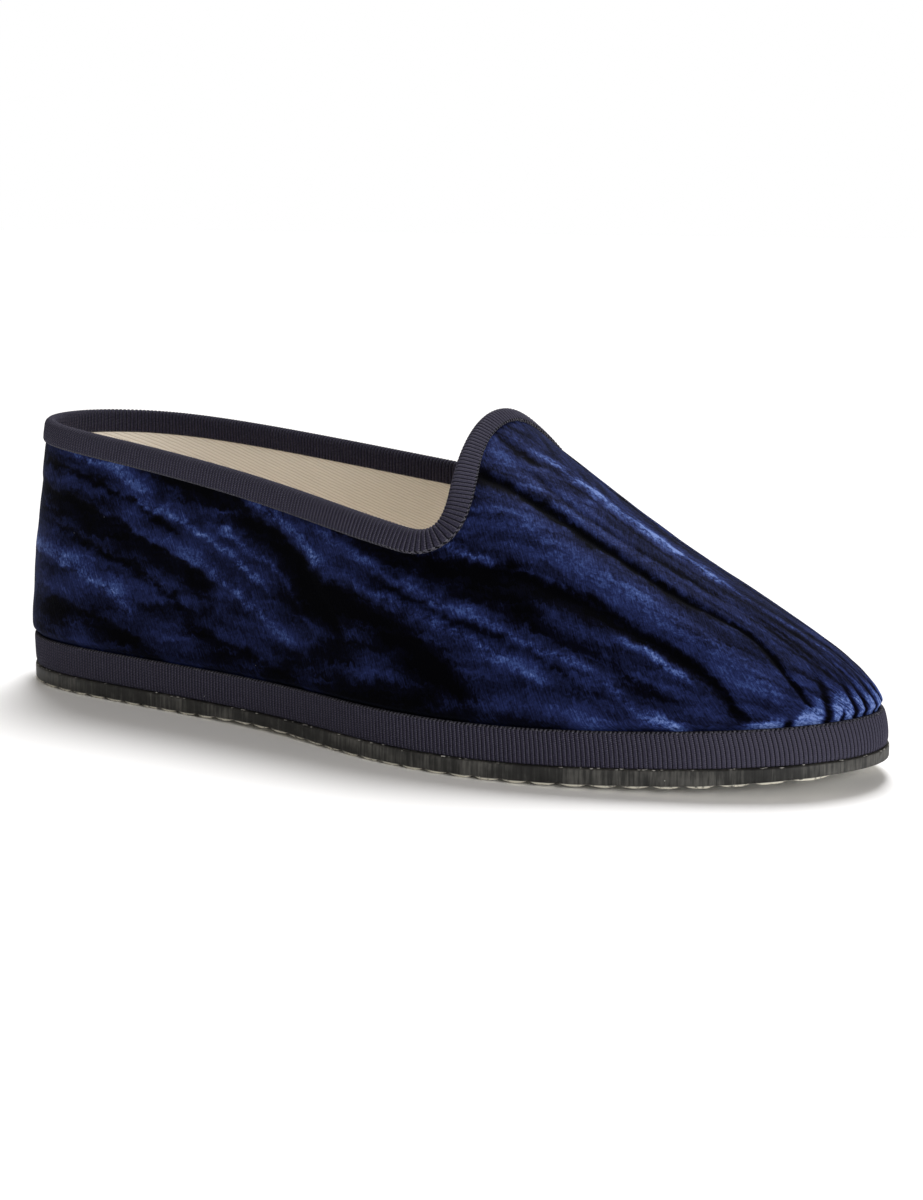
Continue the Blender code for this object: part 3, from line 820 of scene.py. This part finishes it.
def outsole_sections():
    """Sections of the outsole and the worn share of each point: cut sides, lobed floor, flat top."""
    ends = END_LENGTH * (np.arange(END_STEPS) / END_STEPS) ** 2 + END_CUT - SOLE_PROUD
    ribs = FIRST_RIB + RIB_PITCH * np.arange(RIB_COUNT * RIB_STEPS) / RIB_STEPS
    ribs = ribs[ribs < LENGTH - END_LENGTH + SOLE_PROUD]
    x = np.r_[ends, ribs, (LENGTH - ends)[::-1]]
    station = np.clip(x / LENGTH, 0, 1)
    lobe = np.abs((x - FIRST_RIB) % RIB_PITCH / RIB_WIDTH * 2 - 1)
    lobe = np.where((x > FIRST_RIB) & (x < FIRST_RIB + RIB_COUNT * RIB_PITCH), np.minimum(lobe, 1), 1)
    here = np.stack([x, 0 * x, 0 * x], axis=-1) / MM
    torn = value_noise(here / 1.3 + 0.5, 33)
    bulge = (1 - lobe**2.2) ** 0.7 * (0.85 + 0.15 * torn)
    top = sole_top(station)[:, None]
    arch = ARCH_LIFT * np.sin(np.pi * ramp(station, ARCH_START, ARCH_END)) ** 2
    thin = TOE_THINNING * ease(x, LENGTH - TOE_THIN_LENGTH, LENGTH)
    wall = (SOLE_HEIGHT - arch - thin - RIB_HEIGHT)[:, None]
    below = (RIB_HEIGHT * bulge)[:, None]
    outer, inner = (edge[:, None] for edge in edges_at(x, SOLE_PROUD))
    rough = SOLE_ROUGH * value_noise(here / 2.5 + 0.5, 31)[:, None]
    side = np.r_[0.02, 0.10, 0.35, 0.70, 0.95, 1.0, 1.0, 1.0, 1.0]
    lobed = np.r_[0.0, 0.0, 0.0, 0.0, 0.0, 0.02, 0.35, 0.6, 1.0]
    lip = np.r_[0.20, 0.04, 0.0, 0.0, 0.0, 0.10, 0.15, 0.25, 0.55] * MM
    lip = np.minimum(lip, 0.3 * (inner - outer))
    floor_share, top_share = np.linspace(0.03, 0.97, 11), np.linspace(0.95, 0.05, 5)
    walls = top - wall * side - below * lobed
    y = np.concatenate([
        outer - rough + lip,
        outer + lip[:, -1:] + (inner - outer - 2 * lip[:, -1:]) * floor_share,
        (inner + np.roll(rough, 7) - lip)[:, ::-1],
        outer + lip[:, :1] + (inner - outer - 2 * lip[:, :1]) * top_share,
    ], axis=1)
    ground = top - wall - below + 0 * floor_share
    z = np.concatenate([walls, ground, walls[:, ::-1], top + 0 * top_share], axis=1)
    worn_and_painted_light = ease(lobed, 0.0, 0.45)
    wear = np.r_[worn_and_painted_light, np.full(11, 0.75), worn_and_painted_light[::-1], np.zeros(5)] * ramp(bulge, 0, 0.3)[:, None]
    return np.stack([np.broadcast_to(x[:, None], y.shape), y, z], axis=-1), wear


def rubber_material():
    """Dark rubber: knife scratches down the side, dust in its grain, and lobes rubbed pale."""
    material, tree, surface = new_material("cut rubber", Specular_IOR_Level=0.18)
    spot = add(tree, "TexCoord").outputs["Object"]
    wear = add(tree, "Attribute", attribute_name="wear").outputs["Fac"]
    upright = add(tree, "Mapping", {"Vector": spot, "Scale": (1, 1, 0.06)}).outputs[0]
    cuts = cloudy(tree, upright, 1500, 4)
    grain = cloudy(tree, spot, 900, 4)
    smear = maths(tree, "MULTIPLY", cloudy(tree, spot, 70, 4), 0.7)
    shade = maths(tree, "MULTIPLY_ADD", cuts, 0.55, smear)
    dark = colours(tree, shade, (
        (0.40, 0.010, 0.010, 0.010),
        (0.60, 0.030, 0.030, 0.029),
        (0.76, 0.100, 0.098, 0.092),
    ))
    worn_and_painted_light = maths(tree, "MULTIPLY", wear, spread(tree, grain, 0.28, 0.50))
    coloured = over(tree, worn_and_painted_light, dark, (0.80, 0.77, 0.66, 1))
    lint = placed(tree, LINT, {"Vector": spot, "Scale": 700.0, "Share": 0.05})["Mask"]
    coloured = over(tree, lint, coloured, (0.40, 0.40, 0.37, 1))
    rough = spread(tree, cuts, 0.3, 0.7, 0.45, 0.7)
    height = maths(tree, "MULTIPLY_ADD", grain, 0.5, cuts)
    finish_surface(tree, surface, coloured, rough, height, 0.5, 0.2 * MM)
    return material


sole_points, sole_wear = outsole_sections()
outsole = slab_mesh("outsole_rubber", sole_points + SHIFT, rubber_material(), wear=sole_wear)
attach(outsole, "root")
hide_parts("outsole")

# Band: corded grosgrain tape glued round the lower edge, its ribs upright. A chain of fine
# warp stitches shows beside each rib, and its upper edge is a fuzzy selvedge.
BAND_PITCH = 1.08 * MM
RIB_SAMPLES = 6
BAND_RIB_DEPTH = 0.26 * MM
BAND_EDGE_DROP = 0.25 * MM
# The band is painted paler towards the toe: painted light where the toe softbox falls on it.
BAND_PALE_START = 190 * MM
BAND_PALE_END = 240 * MM
CORD = np.sin(np.pi * np.arange(RIB_SAMPLES) / RIB_SAMPLES) ** 0.8


def resampled(at, run, values):
    """Rows of values, known at the distances run, read off at other distances."""
    return np.stack([np.interp(at, run, column) for column in values.T], axis=-1)


def even_ribs(grid, pitch):
    """A closed grid resampled along its middle row, to whole ribs of about the given pitch."""
    run = run_of(grid[:, grid.shape[1] // 2, :3])
    ribs = round(run[-1] / pitch)
    closed = np.concatenate([grid, grid[:1]], axis=0).reshape(len(run), -1)
    at = np.linspace(0, run[-1], ribs * RIB_SAMPLES, endpoint=False)
    return resampled(at, run, closed).reshape(len(at), *grid.shape[1:]), run[-1], ribs


def band_grid():
    """Ring of the band's section, carried round the shoe and ribbed on its outer face."""
    station, foot = outline(720)
    share = np.r_[0.02, 0.06, 0.18, 0.34, 0.5, 0.66, 0.82, 0.93, 0.98, 1.0]
    heights = sole_top(station)[:, None] + GAP / 3 + (BAND_HEIGHT - GAP / 3) * share
    face = on_last(heights)
    out = np.broadcast_to(plan_normals(foot)[:, None], (*face.shape[:2], 2))
    out = np.concatenate([out, np.zeros((*face.shape[:2], 1))], axis=-1)
    both, length, ribs = even_ribs(np.concatenate([face, out], axis=-1), BAND_PITCH)
    face, out = both[..., :3], both[..., 3:]
    edge = np.r_[0.1, 0.55, 0.9, 1, 1, 1, 1, 0.95, 0.75, 0.35]
    cord = np.tile(CORD, ribs)[:, None] * edge
    outer = face + out * (BAND_RIB_DEPTH * (cord - 0.85) - BAND_EDGE_DROP * (1 - edge))[..., None]
    back = face[:, [-1, 5, 0]] - out[:, [-1, 5, 0]] * BAND_THICKNESS
    return np.concatenate([outer, back], axis=1), length, ribs, heights[0] - heights[0, 0]


def yarn_group():
    """Grosgrain yarns: the groove between ribs, the chain of beads beside it, and their fuzz."""
    group, given, result = new_group(
        "grosgrain yarn", {"Pitch": 1.1 * MM, "Bead": 0.43 * MM}, ["Height", "Groove", "Chain", "Fuzz"]
    )
    u, v, _ = add(group, "SeparateXYZ", {0: given["Vector"]}).outputs
    across = maths(group, "DIVIDE", u, given["Pitch"])
    share = maths(group, "FRACT", across)
    hill = maths(group, "SINE", maths(group, "MULTIPLY", share, np.pi))
    shift = maths(group, "MULTIPLY", share, 1.5)
    shift = maths(group, "MULTIPLY_ADD", maths(group, "FLOOR", across), 0.37, shift)
    beads = maths(group, "ADD", maths(group, "DIVIDE", v, given["Bead"]), shift)
    bead = maths(group, "SINE", maths(group, "MULTIPLY", beads, 2 * np.pi))
    beside = spread(group, maths(group, "ABSOLUTE", maths(group, "SUBTRACT", share, 0.84)), 0.16, 0.06)
    fuzz = cloudy(group, given["Vector"], 2600, 3)
    chain = maths(group, "MULTIPLY", beside, spread(group, bead, -0.2, 0.7))
    height = maths(group, "MULTIPLY_ADD", chain, 0.8, hill)
    height = maths(group, "MULTIPLY_ADD", fuzz, 0.6, height)
    groove = spread(group, hill, 0.65, 0.1)
    outputs = {"Height": height, "Groove": groove, "Chain": chain, "Fuzz": fuzz}
    return join_outputs(group, result, outputs)


YARN = yarn_group()


def grosgrain_material(name, pitch, width, folded):
    """Navy-grey ribbed tape, painted paler where light falls on it: dark grooves, pale warp chains, a
    braided selvedge.
    """
    material, tree, surface = new_material(
        name,
        Sheen_Weight=0.03,
        Sheen_Roughness=0.4,
        Sheen_Tint=(0.7, 0.7, 0.8, 1),
        Specular_IOR_Level=0.06,
    )
    cloth = add(tree, "UVMap", uv_map="cloth").outputs[0]
    spot = add(tree, "TexCoord").outputs["Object"]
    u, v, _ = add(tree, "SeparateXYZ", {0: cloth}).outputs
    yarn = placed(tree, YARN, {"Vector": cloth, "Pitch": pitch, "Bead": 0.43 * MM})
    ground = colours(tree, yarn["Fuzz"], (
        (0.30, 0.014, 0.013, 0.023),
        (0.52, 0.029, 0.027, 0.046),
        (0.74, 0.060, 0.057, 0.086),
    ))
    # painted light: the band's toe and the tape's top on the tab are painted paler where light falls on them
    worn_and_painted_light = maths(tree, "MULTIPLY", add(tree, "Attribute", attribute_name="wear").outputs["Fac"], 0.4)
    ground = over(tree, worn_and_painted_light, ground, (0.080, 0.077, 0.112, 1))
    # painted shade in the grooves between the ribs
    ribbed = over(tree, yarn["Groove"], ground, (0.004, 0.004, 0.007, 1))
    ribbed = over(tree, maths(tree, "MULTIPLY", yarn["Chain"], 0.65), ribbed, (0.15, 0.145, 0.19, 1))
    from_edge = maths(tree, "SUBTRACT", width, v)
    if folded:
        from_edge = maths(tree, "MINIMUM", from_edge, v)
    slant = maths(tree, "MULTIPLY_ADD", u, 1 / pitch, maths(tree, "DIVIDE", from_edge, 1.4 * MM))
    braid = maths(tree, "SINE", maths(tree, "MULTIPLY", slant, 2 * np.pi))
    raised = spread(tree, braid, -0.6, 0.7)
    loops = over(tree, raised, (0.004, 0.004, 0.006, 1), (0.066, 0.064, 0.084, 1))
    loops = over(tree, spread(tree, yarn["Fuzz"], 0.52, 0.70), loops, (0.19, 0.19, 0.22, 1))
    braid_start, braid_end = (1.05 * MM, 0.85 * MM) if folded else (0.9 * MM, 0.3 * MM)
    selvedge = spread(tree, from_edge, braid_start, braid_end)
    coloured = over(tree, selvedge, ribbed, loops)
    lint = placed(tree, LINT, {"Vector": spot, "Scale": 500.0, "Share": 0.02})["Mask"]
    height = over(tree, selvedge, yarn["Height"], braid)
    coloured = over(tree, lint, coloured, (0.30, 0.30, 0.32, 1))
    rough = spread(tree, yarn["Fuzz"], 0.3, 0.7, 0.9, 0.65)
    finish_surface(tree, surface, coloured, rough, height, 0.7, 0.14 * MM)
    return material


band_points, band_length, band_ribs, band_up = band_grid()
band_faces, band_i, band_j = ring_faces(*band_points.shape[:2])
band_run = np.linspace(0, band_length, len(band_points) + 1)
band = plain_mesh(
    "foxing_band_grosgrain",
    band_points + SHIFT,
    band_faces.tolist(),
    (grosgrain_material("band grosgrain", band_length / band_ribs, BAND_HEIGHT, False),),
    uv=ring_uv(band_i, band_j, band_run, np.r_[band_up, BAND_HEIGHT - np.r_[1, 5, 8, 8] * MM]),
    wear=ease(band_points[..., 0], BAND_PALE_START, BAND_PALE_END),
)
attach(band, "root")
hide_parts("foxing_band")

# Seam threads: short ends of the pale thread that sews upper and band to the sole. They peep
# out here and there in the joint between band and rubber.
THREAD_COUNT = 120
THREAD_RADIUS = 0.12 * MM
THREAD_TURNS = 7
THREAD_SIDES = 6


def thread_grid():
    """Bent sausages along the joint: rings of points round an arc, pinched at both ends."""
    chance = np.random.default_rng(5)
    _, foot = outline(2000)
    out = plan_normals(foot)
    run = run_of(foot)[:-1]
    start = np.sort(chance.uniform(0, run[-1], THREAD_COUNT))[:, None]
    length = chance.uniform(0.4, 1.1, THREAD_COUNT)[:, None] * MM
    along = np.linspace(0, 1, THREAD_TURNS)
    at = start + length * along
    spot, away = resampled(at, run, foot), resampled(at, run, out)
    z = sole_top(spot[..., 0] / LENGTH) + 0.12 * MM + chance.uniform(-0.1, 0.2, (THREAD_COUNT, 1)) * MM
    spot = spot + away * (0.02 * MM + 0.22 * MM * np.sin(np.pi * along))[:, None]
    radius = THREAD_RADIUS * np.sin(np.pi * (0.06 + 0.88 * along))[:, None] ** 0.6
    turn = np.arange(THREAD_SIDES) / THREAD_SIDES * 2 * np.pi
    ring = spot[:, :, None] + away[:, :, None] * (radius * np.cos(turn))[..., None]
    height = z[..., None] + radius * np.sin(turn)
    return np.concatenate([ring, height[..., None]], axis=-1)


def thread_faces(count):
    """Quads round each thread and a cap on each of its ends."""
    ring = np.arange(THREAD_SIDES)
    i, j = np.meshgrid(np.arange(THREAD_TURNS - 1) * THREAD_SIDES, ring, indexing="ij")
    k = (j + 1) % THREAD_SIDES
    quads = np.stack([i + j, i + THREAD_SIDES + j, i + THREAD_SIDES + k, i + k], axis=-1)
    caps = np.stack([ring, ring[::-1] + (THREAD_TURNS - 1) * THREAD_SIDES])
    starts = np.arange(count)[:, None, None] * THREAD_TURNS * THREAD_SIDES
    sides = (quads.reshape(-1, 4) + starts).reshape(-1, 4)
    return sides.tolist() + (caps + starts).reshape(-1, THREAD_SIDES).tolist()


def thread_material():
    """Off-white cotton thread, soiled in patches."""
    material, tree, surface = new_material("seam thread", Specular_IOR_Level=0.3)
    spot = add(tree, "TexCoord").outputs["Object"]
    soil = cloudy(tree, spot, 700, 3)
    coloured = colours(tree, soil, (
        (0.35, 0.08, 0.08, 0.08),
        (0.55, 0.30, 0.29, 0.27),
        (0.75, 0.60, 0.59, 0.56),
    ))
    finish_surface(tree, surface, coloured, spread(tree, soil, 0.3, 0.7, 0.9, 0.6), soil, 0.4, 0.1 * MM)
    return material


threads = plain_mesh(
    "sole_seam_threads",
    thread_grid() + SHIFT,
    thread_faces(THREAD_COUNT),
    (thread_material(),),
)
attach(threads, "root")

# Collar binding: narrow grosgrain tape folded over the raw edge of velvet and lining and sewn
# through near its lower edges. Its ribs run across the tape, from one leg over to the other.
TAPE = 0.55 * MM
TAPE_WIDTH = 4.6 * MM
TAB_SHARE = 0.7
TAPE_PITCH = 1.02 * MM
TAPE_RIB_DEPTH = 0.28 * MM
TAPE_COLUMNS = 448
TAPE_BED = 26 * MM
TAPE_FACE_ROWS = 19
# The tape is painted paler high up on the tab: painted light where the tab's top catches the light.
TAPE_PALE_START = 0.65
TAPE_PALE_END = 0.90


def onto_wall(points, wall, normals):
    """Points moved straight onto a wall, and the wall's normals there."""
    spots, out = wall.reshape(-1, 3), normals.reshape(-1, 3)
    nearest = np.argmin(np.sum(spots**2, axis=1) - 2 * points @ spots.T, axis=1)
    out = out[nearest]
    lift = np.sum((points - spots[nearest]) * out, axis=1, keepdims=True)
    return points - out * lift, out


def collar_frame(count):
    """The collar edge with its outward and upward directions, and the wall that it ends."""
    station, _ = outline(count)
    top = collar_heights(count)
    low = np.maximum(top - TAPE_BED, sole_top(station) + BAND_HEIGHT)
    wall = on_last(low[:, None] + (top - low)[:, None] * np.linspace(0, 1, 40))
    normal = surface_normals(wall)
    edge, out = wall[:, -1], normal[:, -1]
    along = np.roll(edge, -1, axis=0) - np.roll(edge, 1, axis=0)
    up = np.cross(out, along)
    return edge, out, up / np.linalg.norm(up, axis=1, keepdims=True), wall, normal


def binding_grid():
    """Ring of the folded tape's section, carried round the collar edge and ribbed outside."""
    edge, out, up, wall, normal = collar_frame(TAPE_COLUMNS)
    _, _, rise, _ = section_at(edge[:, 0], edge[:, 2])
    width = TAPE_WIDTH * (1 - (1 - TAB_SHARE) * ease(rise, 0.80, 0.97))
    shares = (1.0, 0.96, 0.84, 0.6, 0.3, 0.1)
    legs = [onto_wall(edge - up * (width * share)[:, None], wall, normal) for share in shares]
    core = edge - out * WALL / 2
    outside = GAP + TAPE
    clear = np.array([0.15, 0.75, 0.95, 1, 1, 1]) * outside
    turned = [out * np.cos(a) + up * np.sin(a) for a in np.linspace(0, np.pi, 7)]
    rows = [spot + side * off for (spot, side), off in zip(legs, clear)]
    rows += [core + side * (WALL / 2 + outside) for side in turned]
    rows += [spot - side * (WALL + off) for (spot, side), off in zip(legs[::-1], clear[::-1])]
    facing = [side for _, side in legs] + turned + [-side for _, side in legs[::-1]]
    hidden = [spot - side * (WALL + 0.05 * outside) for spot, side in (legs[0], legs[3])]
    hidden += [core + up * (WALL / 2 + GAP)]
    hidden += [spot + side * 0.05 * outside for spot, side in (legs[3], legs[0])]
    rows, facing = rows + hidden, facing + [0 * up] * len(hidden)
    both = np.concatenate([np.stack(rows, axis=1), np.stack(facing, axis=1)], axis=-1)
    both, length, ribs = even_ribs(both, TAPE_PITCH)
    points, facing = both[..., :3], both[..., 3:]
    fade = np.r_[0.1, 0.4, 0.9, np.ones(13), 0.9, 0.4, 0.1, np.zeros(len(hidden))]
    cord = np.tile(CORD, ribs)[:, None] * fade
    return points + facing * (TAPE_RIB_DEPTH * (cord - 0.7))[..., None], length, ribs


binding_points, binding_length, binding_ribs = binding_grid()
binding_faces, binding_i, binding_j = ring_faces(*binding_points.shape[:2])
binding_run = np.linspace(0, binding_length, len(binding_points) + 1)
binding_up = np.r_[0, np.cumsum(np.linalg.norm(np.diff(binding_points[RIB_SAMPLES // 2], axis=0), axis=-1))]
binding_width = binding_up[TAPE_FACE_ROWS - 1]
_, _, binding_rise, _ = section_at(binding_points[..., 0], binding_points[..., 2])
binding = plain_mesh(
    "collar_binding_grosgrain",
    binding_points + SHIFT,
    binding_faces.tolist(),
    (grosgrain_material("binding grosgrain", binding_length / binding_ribs, binding_width, True),),
    uv=ring_uv(binding_i, binding_j, binding_run, np.r_[binding_up, binding_up[-1]]),
    wear=ease(binding_rise, TAPE_PALE_START, TAPE_PALE_END),
)
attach(binding, "root")
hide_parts("collar_binding")

# Floor and light: a plain white studio table under a wide ceiling light, a little from behind,
# so that the ridge of the upper catches light over its painted highlight, with one softbox in front of the
# toe.
FLOOR_SIZE = 6.0


def table_material():
    """Matt white table top, very slightly uneven."""
    material, tree, surface = new_material("white table", Specular_IOR_Level=0.1)
    uneven = cloudy(tree, add(tree, "TexCoord").outputs["Object"], 8, 3)
    coloured = over(tree, uneven, (0.95, 0.95, 0.96, 1), (0.97, 0.97, 0.98, 1))
    finish_surface(tree, surface, coloured, spread(tree, uneven, 0.3, 0.7, 0.65, 0.75), uneven, 0.02, MM)
    return material


floor = plain_mesh(
    "floor",
    np.array([(-1.0, -1, 0), (1, -1, 0), (1, 1, 0), (-1, 1, 0)]) * FLOOR_SIZE,
    [(0, 1, 2, 3)],
    (table_material(),),
)
Light = namedtuple("Light", "name kind place aim spread power")
LIGHTS = (
    Light("ceiling light", "SUN", (-0.35, 0.70, 1.20), (0, 0, 0), 0.5, 3.4),
    Light("toe softbox", "AREA", (0.95, -0.38, 0.28), (0.08, 0, 0.02), 0.45, 4.8),
)
for light in LIGHTS:
    lamp = bpy.data.lights.new(light.name, light.kind)
    lamp.energy = light.power
    setattr(lamp, "angle" if light.kind == "SUN" else "size", light.spread)
    holder = bpy.data.objects.new(light.name, lamp)
    holder.location = light.place
    holder.rotation_euler = (Vector(light.aim) - Vector(light.place)).to_track_quat("-Z", "Y").to_euler()
    bpy.context.scene.collection.objects.link(holder)
world = bpy.data.worlds.new("white room")
world.use_nodes = True
seen = add(world.node_tree, "LightPath").outputs["Is Camera Ray"]
room = over(world.node_tree, seen, (0.32, 0.302, 0.275, 1), (1, 1, 1, 1))
world.node_tree.links.new(room, world.node_tree.nodes["Background"].inputs[0])
bpy.context.scene.world = world
bpy.context.scene.view_settings.view_transform = "Standard"

# Camera: low in front of the outer side, at the photograph's angle, with the whole shoe in frame.
EYE = Vector((0.332, -0.459, 0.132))
AIM = Vector((0.010, 0.006, 0.031))
LENS = 68
lens = bpy.data.cameras.new("camera")
lens.lens = LENS
lens.sensor_width = 36
lens.clip_start = 0.01
camera = bpy.data.objects.new("camera", lens)
camera.location = EYE
camera.rotation_euler = (AIM - EYE).to_track_quat("-Z", "Y").to_euler()
bpy.context.scene.collection.objects.link(camera)
bpy.context.scene.camera = camera
